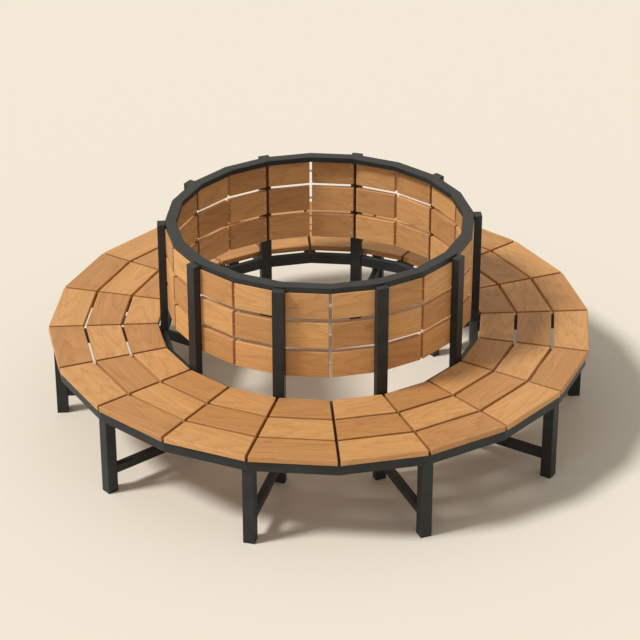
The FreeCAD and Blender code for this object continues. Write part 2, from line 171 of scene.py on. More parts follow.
def mixed(tree, factor, first, second):
    """The colour between two, by the factor."""
    inputs = {"Factor": factor, "A": first, "B": second}
    return node(tree, "Mix", inputs, data_type="RGBA").outputs["Result"]


def bumped(tree, height, strength, distance):
    """The slope of a surface that stands up by this distance where the height is 1."""
    inputs = {"Height": height, "Strength": strength, "Distance": distance}
    return node(tree, "Bump", inputs).outputs["Normal"]


def new_material(name, **constants):
    """A material, its node tree and its shader, with constants for sockets of the shader."""
    made = bpy.data.materials.new(name)
    made.use_nodes = True
    shader = made.node_tree.nodes["Principled BSDF"]
    for socket, constant in constants.items():
        shader.inputs[socket.replace("_", " ")].default_value = constant
    return made, made.node_tree, shader


def feed(tree, shader, **outputs):
    """Links each output to the socket of the shader that it is named for."""
    for socket, output in outputs.items():
        tree.links.new(output, shader.inputs[socket.replace("_", " ")])


def powder_coat():
    """Dark satin coating: chalky in clouds as wide as a hand, and pebbled at the size of its grains."""
    made, tree, shader = new_material("anthracite_powder_coat", Specular_IOR_Level=0.3)
    place = node(tree, "TexCoord").outputs["Object"]
    cloud = noise(tree, place, CLOUDS_PER_METRE, detail=5)
    chalk = between(tree, cloud, CHALKY_CLOUD)
    pebble = noise(tree, place, PEBBLES_PER_METRE)
    feed(tree, shader,
         Base_Color=mixed(tree, chalk, ANTHRACITE, ANTHRACITE_CHALKY),
         Roughness=between(tree, cloud, (0, 1), SATIN),
         Normal=bumped(tree, pebble, strength=0.25, distance=PEBBLE_HEIGHT))
    return made


def tube_rings(low, high, along):
    """Rings of a tube that fills a box, along one of the axes: out on the outside, whose ends are
    filed at 45 degrees, and back in the bore."""
    across = [(along + 1) % 3, (along + 2) % 3]
    low, high = np.array(low), np.array(high)
    start, end = low[along], high[along]
    stations = [(start, FILED_EDGE, TUBE_CORNER), (start + FILED_EDGE, 0, TUBE_CORNER),
                (end - FILED_EDGE, 0, TUBE_CORNER), (end, FILED_EDGE, TUBE_CORNER),
                (end, TUBE_WALL, BORE_CORNER), (start, TUBE_WALL, BORE_CORNER)]
    rings = np.empty((len(stations), 4 * len(QUARTER_TURN), 3))
    for ring, (place, margin, corner) in zip(rings, stations):
        outline = rounded(*(high - low)[across] - 2 * margin, corner)
        ring[:, across] = outline + (low + high)[across] / 2
        ring[:, along] = place
    return rings


def fit_tube(name, rings, cad_name):
    """A coated tube over rings that go out on its outside and back in its bore, with crisp cuts."""
    tube = piece_of(name, skin(rings, crisp=range(rings.shape[1]), closed=True))
    fitted(tube, steel, "frame_steel", cad_name)


steel = powder_coat()
frame_joints = 2 * np.arange(FRAMES) + 1
every_frame = joint_angle(frame_joints)

# Frame 3 stands on the X axis, so the boxes of its nodes are square to its tubes.
leg_low, leg_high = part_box("outer_leg_03")
leg_rings = tube_rings(leg_low, leg_high, along=2)
for number, turn in enumerate(every_frame, start=1):
    fit_tube(f"leg_tube_{number:02d}", about_z(leg_rings, turn), f"outer_leg_{number:02d}")

# Back posts: ten rectangular tubes with their broad face to the seat. They stand on the ground in
# the gap inside the seat, carry it with the legs, and run up on the outside of the backrest.
post_low, post_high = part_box("back_post_03")
post_rings = tube_rings(post_low, post_high, along=2)
for number, turn in enumerate(every_frame, start=1):
    fit_tube(f"post_tube_{number:02d}", about_z(post_rings, turn), f"back_post_{number:02d}")

# Foot plugs: black plastic plates with an insert, driven into the lower ends of legs and posts.
# Their edges are rounded, and they keep the cut steel off the wet ground.
PLUG_CLEARANCE = 0.0003
PLUG_CORNER = 0.0021
FOOT_THICKNESS = 0.005
FOOT_EDGE = 0.0015
MOULDED_BLACK = (0.010, 0.010, 0.010, 1)
SCUFFED_BLACK = (0.045, 0.043, 0.040, 1)
SCUFFS_PER_METRE = 70
SCUFFED_CLOUD = (0.55, 0.8)
SPARKS_PER_METRE = 1500
SPARK_HEIGHT = 0.0002


def black_plastic():
    """Matt moulded plastic with a fine spark-eroded grain and pale scuffs."""
    made, tree, shader = new_material("black_plastic", Roughness=0.62)
    place = node(tree, "TexCoord").outputs["Object"]
    scuff = noise(tree, place, SCUFFS_PER_METRE, detail=6)
    grain = noise(tree, place, SPARKS_PER_METRE)
    feed(tree, shader,
         Base_Color=mixed(tree, between(tree, scuff, SCUFFED_CLOUD), MOULDED_BLACK, SCUFFED_BLACK),
         Normal=bumped(tree, grain, strength=0.2, distance=SPARK_HEIGHT))
    return made


def plug_skin(low, high, insert_end, plate, edge, plate_end):
    """A plug at every frame: an insert from its free end to the plate, then the plate, whose near
    edge is bevelled and whose far edge is a quarter circle. It points up for a cap and down for a
    foot."""
    size = np.subtract(high, low)[:2]
    middle = np.add(high, low)[:2] / 2
    outwards = math.copysign(1, plate_end - plate)
    insert_margin = TUBE_WALL + PLUG_CLEARANCE
    levels = [insert_end, plate, plate, plate + outwards * FILED_EDGE]
    levels += (plate_end - outwards * edge * (1 - np.sin(QUARTER_TURN))).tolist()
    margins = [insert_margin, insert_margin, FILED_EDGE, 0]
    margins += (edge * (1 - np.cos(QUARTER_TURN))).tolist()
    rings = []
    for level, margin in zip(levels, margins):
        outline = rounded(*(size - 2 * margin), PLUG_CORNER) + middle
        rings.append(np.insert(outline, 2, level, axis=1))
    shoulder = np.array([1, 2, 3])
    if outwards < 0:
        rings.reverse()
        shoulder = -1 - shoulder
    return skin(about_z(np.array(rings), every_frame), crisp=shoulder)


plastic = black_plastic()
for kind, (low, high) in (("leg", (leg_low, leg_high)), ("post", (post_low, post_high))):
    insert_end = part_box(f"{kind}_foot_plugs")[1].z
    feet = piece_of(f"{kind}_feet", plug_skin(low, high, insert_end, FOOT_THICKNESS, FOOT_EDGE, 0))
    fitted(feet, plastic, "foot_plastic", f"{kind}_foot_plugs")

# Stretchers: a low level tube from each leg to its post, welded all round at both ends. The weld
# beads lie in the corner in overlapping ripples, and are coated with the frame.
STRETCHER_WIDTH = 0.030
BEAD_RADIUS = 0.0030
RIPPLE = 0.0040
RIPPLE_DIP = 0.72
BEAD_SIDES = 6
OUT, ASIDE, UP = np.eye(3)


def evenly_round(points):
    """The angles of points that stand evenly round a circle."""
    return np.arange(points) * 2 * np.pi / points


def beads(outline, facing, turns, closed=False):
    """Weld beads along an outline in a plane that faces this way, one at each turn about the middle
    of the bench. A bead goes evenly along the outline, and its radius swells and sinks in ripples."""
    outline = np.array(outline, float)
    if closed:
        outline = np.vstack([outline, outline[:1]])
    reached = np.append(0, np.cumsum(np.linalg.norm(np.diff(outline, axis=0), axis=1)))
    stations = np.linspace(0, reached[-1], 2 * round(reached[-1] / RIPPLE) + 1)
    middle = np.stack([np.interp(stations, reached, coordinate) for coordinate in outline.T], axis=-1)
    way = np.gradient(middle, axis=0)
    radius = BEAD_RADIUS * np.where(np.arange(len(stations)) % 2, 1, RIPPLE_DIP)
    if closed:
        way[0] = middle[1] - middle[-2]
        middle, way, radius = middle[:-1], way[:-1], radius[:-1]
    else:
        radius[[0, -1]] = BEAD_RADIUS / 2
    side = np.cross(facing, way / np.linalg.norm(way, axis=1, keepdims=True))
    turn = evenly_round(BEAD_SIDES)[:, None]
    circle = side[:, None] * np.cos(turn) + facing * np.sin(turn)
    return skin(about_z(middle[:, None] + radius[:, None, None] * circle, turns), closed=closed)


stretcher_low, stretcher_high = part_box("stretchers")
start = (post_high.x, -STRETCHER_WIDTH / 2, stretcher_low.z)
end = (leg_low.x, STRETCHER_WIDTH / 2, stretcher_high.z)
fit_tube("stretcher_tubes", about_z(tube_rings(start, end, along=0), every_frame), "stretchers")
stretcher_end = rounded(STRETCHER_WIDTH, stretcher_high.z - stretcher_low.z, TUBE_CORNER)
stretcher_end[:, 1] += (stretcher_high.z + stretcher_low.z) / 2
stretcher_weld_skins = [beads(np.insert(stretcher_end, 0, reach, axis=1), OUT, every_frame, closed=True)
                        for reach in (post_high.x, leg_low.x)]
fitted(piece_of("stretcher_welds", *stretcher_weld_skins), steel, "frame_steel")

# Bearers: twenty radial channels of folded steel, open below, that carry the ends of the boards.
# At a frame one stands on the leg and butts on the post, and between frames it joins the two rims.
BEARER_WIDTH = 0.050
BEARER_WALL = 0.004
BEND_RADIUS = 0.006
HALF_ANGLE = SIDE_ANGLE / 2
OUTER_RIM_WIDTH = 0.030


def corner_reach(reach, aside):
    """How far out a face of the polygon is, beside its corner at this distance from the joint."""
    return (reach - np.abs(aside) * math.sin(HALF_ANGLE)) / math.cos(HALF_ANGLE)


def channel_profile(width, low, high):
    """A folded channel: up, over and down its outside, and back along its inside. Each bend is a
    quarter circle about one centre for both."""

    def half(wall):
        side, top, radius = width / 2 - wall, high - wall, BEND_RADIUS - wall
        arc_aside = side - radius + radius * np.cos(QUARTER_TURN)
        arc_up = top - radius + radius * np.sin(QUARTER_TURN)
        return np.vstack([(side, low), np.column_stack([arc_aside, arc_up]), (0, top)])

    out, back = half(0), half(BEARER_WALL)
    mirror = (-1, 1)
    return np.vstack([out, out[-2::-1] * mirror, back * mirror, back[-2::-1]])


bearer_low, bearer_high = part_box("frame_bearers")
rim_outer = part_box("outer_rim_front")[1].x * math.cos(HALF_ANGLE)
rim_inner = rim_outer - OUTER_RIM_WIDTH
inner_rim_outer = -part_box("inner_rim_front")[0].y * math.cos(HALF_ANGLE)
every_bay = joint_angle(2 * np.arange(FRAMES))
profile = channel_profile(BEARER_WIDTH, bearer_low.z, bearer_high.z)
outer_cut = corner_reach(rim_inner, profile[:, 0])
post_cut = np.full(len(profile), post_high.x)
rim_cut = corner_reach(inner_rim_outer, profile[:, 0])
for kind, inner_cut, turns in (("frame", post_cut, every_frame), ("middle", rim_cut, every_bay)):
    rings = np.stack([np.column_stack([cut, profile]) for cut in (inner_cut, outer_cut)])
    channel_skin = skin(about_z(rings, turns), crisp=(0, 1), folded=True)
    channels = piece_of(f"{kind}_bearer_channels", channel_skin)
    fitted(channels, steel, "frame_steel", f"{kind}_bearers")

# Rims: two rings of rectangular tube under the edges of the seat, each in a front and a rear half.
# Their lengths are mitred at the corners, welded and ground flush. The inner rim's are cut in
# between the posts.
INNER_RIM_WIDTH = 0.025
SPLIT_GAP = 0.0004
HALF_FRAMES = FRAMES // 2
first_joints = {"front": -HALF_FRAMES, "rear": HALF_FRAMES}

# Bay 0 is the front one, and each bay lies about the joint of twice its number. At each split
# joint, the rear half lies on the side given here, of which 1 is the anticlockwise one.
bays = {half: range((first + 1) // 2, (first + FRAMES + 1) // 2) for half, first in first_joints.items()}
split_joints = {HALF_FRAMES: 1, 3 * HALF_FRAMES: -1}


def ring_rings(inner, outer, low, high, joints, asides, face=math.inf):
    """Rings of a tube along the sides of the polygon, at cuts beside joints. Out on the outside and
    back in the bore. Corners that would stand past a post's face are dressed flat to it."""
    joints, asides = np.array(joints), np.array(asides, float)
    rings = []
    for margin, corner, order in ((0, TUBE_CORNER, 1), (TUBE_WALL, BORE_CORNER, -1)):
        outline = rounded(high - low - 2 * margin, outer - inner - 2 * margin, corner)[:, ::-1]
        outline = outline + ((outer + inner) / 2, (high + low) / 2)
        for joint, aside in zip(joints[::order], asides[::order]):
            out = np.minimum(corner_reach(outline[:, 0], aside), face - margin)
            ring = np.column_stack([out, np.full(len(out), aside), outline[:, 1]])
            rings.append(about_z(ring, joint_angle(joint))[0])
    return np.array(rings)[None]


for half, first in first_joints.items():
    joints = range(first, first + FRAMES + 1)
    asides = [SPLIT_GAP / 2] + [0] * (FRAMES - 1) + [-SPLIT_GAP / 2]
    rings = ring_rings(rim_inner, rim_outer, bearer_low.z, bearer_high.z, joints, asides)
    fit_tube(f"outer_rim_{half}_half", rings, f"outer_rim_{half}")

inner_rim_inner = inner_rim_outer - INNER_RIM_WIDTH
for half, half_bays in bays.items():
    lengths = [ring_rings(inner_rim_inner, inner_rim_outer, bearer_low.z, bearer_high.z,
                          (2 * bay - 1, 2 * bay, 2 * bay + 1), (post_high.y, 0, post_low.y))
               for bay in half_bays]
    fit_tube(f"inner_rim_{half}_half", np.concatenate(lengths), f"inner_rim_{half}")


def welded_turns(side):
    """The frames that are welded on this side. At a split joint the rear half comes off."""
    return joint_angle([joint for joint in frame_joints if split_joints.get(joint) != side])


def upright_bead(reach, side, facing, turns):
    """A bead up the side of a bearer, where it meets a face that is this far out there."""
    aside = side * BEARER_WIDTH / 2
    return beads([(reach, aside, level) for level in (bearer_low.z, bearer_high.z)], facing, turns)


# The inner rim's bead leaves out the top of its end, on which the boards lie.
rim_height = bearer_high.z - bearer_low.z
rim_end = rounded(INNER_RIM_WIDTH, rim_height, TUBE_CORNER)
below_top = np.arange(len(rim_end) // 2 - 1, len(rim_end) + 1) % len(rim_end)
end_middle = (inner_rim_outer - INNER_RIM_WIDTH / 2, bearer_low.z + rim_height / 2)
out, up = (rim_end[below_top] + end_middle).T
out = corner_reach(out, post_high.y)
outer_face = corner_reach(rim_inner, BEARER_WIDTH / 2)
inner_face = corner_reach(inner_rim_outer, BEARER_WIDTH / 2)
seat_weld_skins = []
for side in (-1, 1):
    rim_on_post = np.column_stack([out, np.full(len(out), side * post_high.y), up])
    seat_weld_skins.append(beads(rim_on_post, ASIDE, welded_turns(side)))
    seat_weld_skins.append(upright_bead(outer_face, side, ASIDE, welded_turns(side)))
    seat_weld_skins.append(upright_bead(outer_face, side, ASIDE, every_bay))
    seat_weld_skins.append(upright_bead(inner_face, side, ASIDE, every_bay))
    seat_weld_skins.append(upright_bead(post_high.x, side, OUT, every_frame))
leg_top = rounded(leg_high.x - leg_low.x, leg_high.y - leg_low.y, TUBE_CORNER)
leg_top[:, 0] += (leg_low.x + leg_high.x) / 2
seat_weld_skins.append(beads(np.insert(leg_top, 2, leg_high.z, axis=1), UP, every_frame, closed=True))
fitted(piece_of("seat_frame_welds", *seat_weld_skins), steel, "frame_steel")

# Split joints: the bench comes in two halves, which are put together where it stands. Bent steel
# bars slide in the tube ends, and the inner rim's ends lie on angles that are welded to the posts.
# Flat stainless tongues keep the back boards in line.
STAINLESS = (0.56, 0.55, 0.53, 1)
POLISHED_TO_DULL = (0.22, 0.45)
SMEARS_PER_METRE = 240
SCRATCHES_PER_METRE = 2600
SCRATCH_HEIGHT = 0.0001


def stainless():
    """Bright steel with faint smears, which dull it in patches as wide as a fingertip, and fine
    scratches that lie every way."""
    made, tree, shader = new_material("stainless_steel", Metallic=1.0, Base_Color=STAINLESS)
    place = node(tree, "TexCoord").outputs["Object"]
    smear = noise(tree, place, SMEARS_PER_METRE, detail=4)
    scratch = noise(tree, place, SCRATCHES_PER_METRE, detail=3)
    feed(tree, shader,
         Roughness=between(tree, smear, (0, 1), POLISHED_TO_DULL),
         Normal=bumped(tree, scratch, strength=0.15, distance=SCRATCH_HEIGHT))
    return made


bright = stainless()
for cad_name, finish in (("rim_spigots", steel), ("rail_spigots", steel), ("rim_end_blocks", steel),
                         ("rim_cleats", steel), ("loose_tongues", bright)):
    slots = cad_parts[cad_name].data.materials
    slots.clear()
    slots.append(finish)

cleat_inner, cleat_outer = post_low.x + TUBE_WALL, post_high.x - TUBE_WALL
cleat_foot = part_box("rim_cleats")[0].z
cleat_weld_skins = []
for joint, side in split_joints.items():
    down_and_up = ((cleat_inner, bearer_low.z), (cleat_inner, cleat_foot),
                   (cleat_outer, cleat_foot), (cleat_outer, bearer_low.z))
    cleat_on_post = [(reach, side * post_high.y, level) for reach, level in down_and_up]
    cleat_weld_skins.append(beads(cleat_on_post, ASIDE, joint_angle(joint)))
fitted(piece_of("cleat_welds", *cleat_weld_skins), steel, "frame_steel")

# Seat boards: sixty oiled hardwood boards in three rows, mitred to a twenty-sided ring with open
# joints. Their arrises are eased, and each board comes from a plank a little lighter or darker.
SEAT_ROWS = 3
BOARD_WIDTH = 0.150
ROW_GAP = 0.013
JOINT_GAP = 0.012
ARRIS = 0.003
CORNER_INSET = 0.95 * ARRIS
LIGHT_TAN = (0.642, 0.328, 0.116, 1)
DARK_TAN = (0.517, 0.246, 0.083, 1)
TONE_SPREAD = 0.2
END_DARKENING = 0.8

# What a plank's tone is multiplied by in its palest wood and in its darkest grain.
PALE_WOOD = (1.31, 1.34, 1.36)
DARK_GRAIN = (0.50, 0.42, 0.34)

# The grain's clouds to the metre, along, across and through a board.
WANDERS = (1.6, 14, 14)
STREAKS = (1.1, 30, 30)
FIBRES = (5, 420, 420)
FIBRE_CLOUD = (0.3, 0.7)
PORES = (34, 1150, 1150)
PORE_CLOUD = (0.58, 0.68)
RING_STRETCH = (0.05, 1, 1)
RING_PITCH = 0.0075
RING_WANDER = 0.030
RING_SHARPNESS = 3.0
OILED = (0.44, 0.66)
GRAIN_HEIGHT = 0.0006

# How far the middle of a board may lie from the middle and the heart of its log.
LOG_ALONG = (-9, 9)
LOG_WIDE = (-0.05, 0.05)
LOG_THICK = (0.03, 0.09)
random = np.random.default_rng(7)


def board_rings(inner, outer, low, high, post_face=None, side_of_post=1):
    """Rings along a board whose side of the polygon faces +X. The profile is a rectangle with round
    corners. Both ends run beside their joints and are set in over the last arris. An end that
    bears on a post is planed back to the plane of its face, from a knee in the board's back."""
    insets = CORNER_INSET * (1 - np.cos(QUARTER_TURN))
    profiles = np.stack([rounded(high - low, outer - inner, ARRIS, inset)[:, ::-1] for inset in insets])
    out, up = np.moveaxis(profiles + ((inner + outer) / 2, (low + high) / 2), -1, 0)
    half_length = out * math.tan(HALF_ANGLE) - JOINT_GAP / 2 / math.cos(HALF_ANGLE)
    along = half_length - (ARRIS * (1 - np.sin(QUARTER_TURN)))[:, None]
    far = np.stack([out, along, up], axis=-1)
    near = far[::-1] * (1, -1, 1)
    if post_face is None:
        return np.concatenate([near, far])
    knee = (post_face - outer * math.cos(HALF_ANGLE)) / math.sin(HALF_ANGLE)
    bend = np.stack([out[0], np.full(len(out[0]), knee), up[0]], axis=-1)
    rings = np.concatenate([near, [bend * (1, -1, 1), bend], far])
    planed = (post_face - side_of_post * rings[..., 1] * math.sin(HALF_ANGLE)) / math.cos(HALF_ANGLE)
    rings[..., 0] = np.minimum(rings[..., 0], planed)
    return rings


def boards(name, shapes, material, slot, cad_name, crisp=()):
    """The boards of a bay as one piece, from the rings of each, its row and its side. Each has its
    own place in a log for the grain, as along, wide and thick, and its own tone, darker at its ends."""
    rings, grain, tone = [], [], []
    for local, row, side in shapes:
        rings.append(about_z(local, joint_angle(side + 0.5))[0])
        corners = local.reshape(-1, 3)
        centred = local - (corners.max(axis=0) + corners.min(axis=0)) / 2
        wide, thick = sorted((0, 2), key=lambda axis: -np.ptp(local[..., axis]))
        log_place = [random.uniform(*reach) for reach in (LOG_ALONG, LOG_WIDE, LOG_THICK)]
        grain.append(centred[..., [1, wide, thick]] + log_place)
        plank_tone = (side + row) % 2 + random.uniform(-TONE_SPREAD, TONE_SPREAD)
        shade = np.full(local.shape[:2], plank_tone)
        shade[[0, -1]] += END_DARKENING
        tone.append(shade)
    piece = piece_of(name, skin(np.array(rings), crisp))
    attributes = piece.data.attributes
    grain_data = attributes.new("grain", "FLOAT_VECTOR", "POINT").data
    grain_data.foreach_set("vector", np.array(grain, np.float32).ravel())
    tone_data = attributes.new("tone", "FLOAT", "POINT").data
    tone_data.foreach_set("value", np.array(tone, np.float32).ravel())
    fitted(piece, material, slot, cad_name)


def oiled_hardwood(name, light_tone, dark_tone):
    """Growth rings about the heart of the log, each darker towards its outside, broad streaks, fine
    fibres and open pores, all drawn out along the board. Together they take the tone from the pale
    wood to the dark, and the dark grain is sunken."""
    made, tree, shader = new_material(name)
    place = node(tree, "Attribute", attribute_name="grain").outputs["Vector"]
    tone = node(tree, "Attribute", attribute_name="tone").outputs["Fac"]

    def times(first, second):
        return node(tree, "VectorMath", {0: first, 1: second}, operation="MULTIPLY").outputs[0]

    def combined(operation, first, second=0.0, third=0.0):
        return node(tree, "Math", {0: first, 1: second, 2: third}, operation=operation).outputs[0]

    def drawn_out(clouds, detail):
        return noise(tree, times(place, clouds), 1, detail)

    stretched = times(place, RING_STRETCH)
    from_heart = node(tree, "VectorMath", {0: stretched}, operation="LENGTH").outputs["Value"]
    wander = combined("MULTIPLY_ADD", drawn_out(WANDERS, detail=2), RING_WANDER, from_heart)
    ring_share = combined("FRACT", combined("DIVIDE", wander, RING_PITCH))
    late_wood = combined("POWER", ring_share, RING_SHARPNESS)
    fibre = between(tree, drawn_out(FIBRES, detail=3), FIBRE_CLOUD)
    streak = drawn_out(STREAKS, detail=3)
    pores = between(tree, drawn_out(PORES, detail=1), PORE_CLOUD)
    depth = 0.0
    for layer, share in ((late_wood, 0.20), (fibre, 0.20), (streak, 0.40), (pores, 0.30)):
        depth = combined("MULTIPLY_ADD", layer, share, depth)
    plank = mixed(tree, tone, light_tone, dark_tone)
    feed(tree, shader,
         Base_Color=mixed(tree, depth, times(plank, PALE_WOOD), times(plank, DARK_GRAIN)),
         Roughness=between(tree, depth, (0, 1), OILED),
         Normal=bumped(tree, combined("SUBTRACT", 1.0, depth), strength=0.35, distance=GRAIN_HEIGHT))
    return made


seat_wood = oiled_hardwood("oiled_seat_hardwood", LIGHT_TAN, DARK_TAN)
seat_low, seat_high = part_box("seat_boards_bay_01")
seat_outer = -seat_low.y * math.cos(HALF_ANGLE) + JOINT_GAP / 2 * math.sin(HALF_ANGLE)
row_outers = [seat_outer - row * (BOARD_WIDTH + ROW_GAP) for row in range(SEAT_ROWS)]
for number in range(1, FRAMES + 1):
    sides = (2 * number - 3, 2 * number - 2)
    shapes = [(board_rings(outer - BOARD_WIDTH, outer, seat_low.z, seat_high.z), row, side)
              for row, outer in enumerate(row_outers) for side in sides]
    cad_name = f"seat_boards_bay_{number:02d}"
    boards(f"seat_boards_{number:02d}", shapes, seat_wood, "seat_timber", cad_name)

# Seat screws: stainless pan heads in the bearers, two up into each end of every board. Each has a
# six-lobed socket, and a rim that sits flat on the underside of the channel.
HEAD_POINTS = 12
LOBES = 6
LOBE_SWELL = 0.14
SLANTED = (0.48, 0.60, 0.64)
SEAT_SCREW_ASIDE = 0.0145
SEAT_SCREW_SPREAD = 0.045
PAN_HEAD = np.array([(5.0, 0), (5.0, 0.9), (4.4, 2.2), (3.0, 3.0), (2.0, 3.1), (1.8, 1.2)]) / 1000


def screw_heads(name, places, ways, profile):
    """Turned heads at places, each pointing its way, from pairs of radius and height. The last two
    rings are the socket, whose radius swells and shrinks to its lobes. A slanted way that no screw
    has gives each head two ways square to its own."""
    places, ways = np.array(places), np.array(ways)
    side = np.cross(ways, SLANTED)
    side /= np.linalg.norm(side, axis=1)[:, None]
    up = np.cross(ways, side)
    turn = evenly_round(HEAD_POINTS)
    circle = side[:, None] * np.cos(turn[:, None]) + up[:, None] * np.sin(turn[:, None])
    swell = np.zeros((len(profile), HEAD_POINTS))
    swell[-2:] = LOBE_SWELL * np.cos(LOBES * turn)
    radius = profile[:, :1] * (1 + swell)
    stations = places[:, None, None] + ways[:, None, None] * profile[:, 1, None, None]
    heads = piece_of(name, skin(stations + radius[..., None] * circle[:, None], crisp=(0, -1, -2)))
    fitted(heads, bright, "bright_steel")


spots = [(corner_reach(outer - BOARD_WIDTH / 2 + spread, aside), aside, bearer_high.z - BEARER_WALL)
         for outer in row_outers for spread in (-SEAT_SCREW_SPREAD, SEAT_SCREW_SPREAD)
         for aside in (-SEAT_SCREW_ASIDE, SEAT_SCREW_ASIDE)]
every_joint = joint_angle(np.arange(2 * FRAMES))
places = about_z(np.array(spots), every_joint).reshape(-1, 3)
screw_heads("seat_screws", places, np.tile(-UP, (len(places), 1)), PAN_HEAD)

# Top rail: a flat rectangular tube over the backrest, mitred and welded like the rims, in two
# halves. Its corners at the frames are dressed flat and welded to the posts.
RAIL_WIDTH = 0.050
RAIL_BEARING = 0.0025
rail_low, rail_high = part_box("top_rail_front")
rail_outer = (post_low.x + RAIL_BEARING) * math.cos(HALF_ANGLE)
rail_inner = rail_outer - RAIL_WIDTH
rail_flat = RAIL_BEARING / math.tan(HALF_ANGLE)
for half, half_bays in bays.items():
    joints, asides = [], []
    for bay in half_bays:
        joints += [2 * bay - 1, 2 * bay - 1, 2 * bay, 2 * bay + 1]
        asides += [0, rail_flat, 0, -rail_flat]
    asides[0] = SPLIT_GAP / 2
    joints.append(joints[-1])
    asides.append(-SPLIT_GAP / 2)
    rings = ring_rings(rail_inner, rail_outer, rail_low.z, rail_high.z, joints, asides, post_low.x)
    fit_tube(f"top_rail_{half}_half", rings, f"top_rail_{half}")
rail_weld_skins = []
for side in (-1, 1):
    flat_end, joint_end = side * rail_flat, 0
    rail_on_post = [(post_low.x, flat_end, post_high.z), (post_low.x, flat_end, rail_low.z),
                    (post_low.x, joint_end, rail_low.z)]
    rail_weld_skins.append(beads(rail_on_post, OUT, welded_turns(side)))
fitted(piece_of("rail_welds", *rail_weld_skins), steel, "frame_steel")

# Back boards: sixty more boards on edge, in three rows between the posts and the middle of each
# bay, where flat tongues keep their ends in line. Their ends are planed to bear on the posts. Their
# tones are the seat's, painted paler to stand in for the light that falls on the upright boards.
BACK_ROWS = 3
BACK_BOARD_HEIGHT = 0.118
BACK_ROW_GAP = 0.019
BACK_THICKNESS = 0.025
# Painted light: the seat's two tans made paler, standing in for the light on the upright boards.
BACK_LIGHT_TAN_PAINTED_LIGHT = (0.700, 0.374, 0.143, 1)
BACK_DARK_TAN_PAINTED_LIGHT = (0.558, 0.282, 0.104, 1)
back_wood_painted_light = oiled_hardwood("oiled_back_hardwood_painted_light", BACK_LIGHT_TAN_PAINTED_LIGHT, BACK_DARK_TAN_PAINTED_LIGHT)
back_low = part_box("back_boards_bay_01")[0]
back_outer = -back_low.y * math.cos(HALF_ANGLE) + JOINT_GAP / 2 * math.sin(HALF_ANGLE)
back_inner = back_outer - BACK_THICKNESS
row_lows = [back_low.z + row * (BACK_BOARD_HEIGHT + BACK_ROW_GAP) for row in range(BACK_ROWS)]
knees = (len(QUARTER_TURN), len(QUARTER_TURN) + 1)
for number in range(1, FRAMES + 1):
    posts_beside = {2 * number - 3: -1, 2 * number - 2: 1}
    shapes = []
    for row, low in enumerate(row_lows):
        for side, post_side in posts_beside.items():
            high = low + BACK_BOARD_HEIGHT
            local = board_rings(back_inner, back_outer, low, high, post_low.x, post_side)
            shapes.append((local, row, side))
    cad_name = f"back_boards_bay_{number:02d}"
    boards(f"back_boards_{number:02d}", shapes, back_wood_painted_light, "back_timber", cad_name, crisp=knees)

# Back screws: stainless oval heads on the inner side, two through each board end into its post.
# Their rims are sunk a little into the wood.
BACK_SCREW_ASIDE = 0.0155
BACK_SCREW_SPREAD = 0.032
OVAL_HEAD = np.array([(4.6, -0.4), (4.5, 0.2), (3.6, 0.9), (2.4, 1.2), (1.9, 1.25), (1.7, 0.3)]) / 1000
spots, ways = [], []
for aside in (-BACK_SCREW_ASIDE, BACK_SCREW_ASIDE):
    tilt = math.copysign(HALF_ANGLE, aside)
    for low in row_lows:
        for spread in (-BACK_SCREW_SPREAD, BACK_SCREW_SPREAD):
            level = low + BACK_BOARD_HEIGHT / 2 + spread
            spots.append((corner_reach(back_inner, aside), aside, level))
            ways.append((-math.cos(tilt), -math.sin(tilt), 0))
places = about_z(np.array(spots), every_frame).reshape(-1, 3)
ways = about_z(np.array(ways), every_frame).reshape(-1, 3)
screw_heads("back_screws", places, ways, OVAL_HEAD)

# Post caps: pressed steel caps with an insert, knocked into the tops of the posts and coated alike.
# Their upper edges are rounded.
CAP_EDGE = 0.0025
cap_low, cap_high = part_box("post_caps")
cap_skin = plug_skin(post_low, post_high, cap_low.z, post_high.z, CAP_EDGE, cap_high.z)
fitted(piece_of("post_cap_plates", cap_skin), steel, "frame_steel", "post_caps")

# Splice bolts: six stainless M8 hexagon bolts, put in last, when the two halves stand together.
# At each split one goes out through the rim, one up into the rail and one up through a cleat.
BOLT_HEAD_WIDTH = 0.013
BOLT_HEAD_HEIGHT = 0.0055
HEXAGON = 6
WASHER_FACE = 0.0004
FACE_SHARE = 0.93
CHAMFER_SLOPE = math.tan(math.radians(30))
ACROSS_FLAT = np.radians((-28.5, -15, 0, 15, 28.5))
BOLT_RADIUS = 0.004
BOLT_LENGTH = 0.016
THREAD_PITCH = 0.00125
THREAD_DEPTH = 0.00065
RINGS_PER_PITCH = 4
BOLT_ASIDE = 0.048
CLEAT_WALL = 0.005
CLEAT_BOLT_OFFSET = 0.024


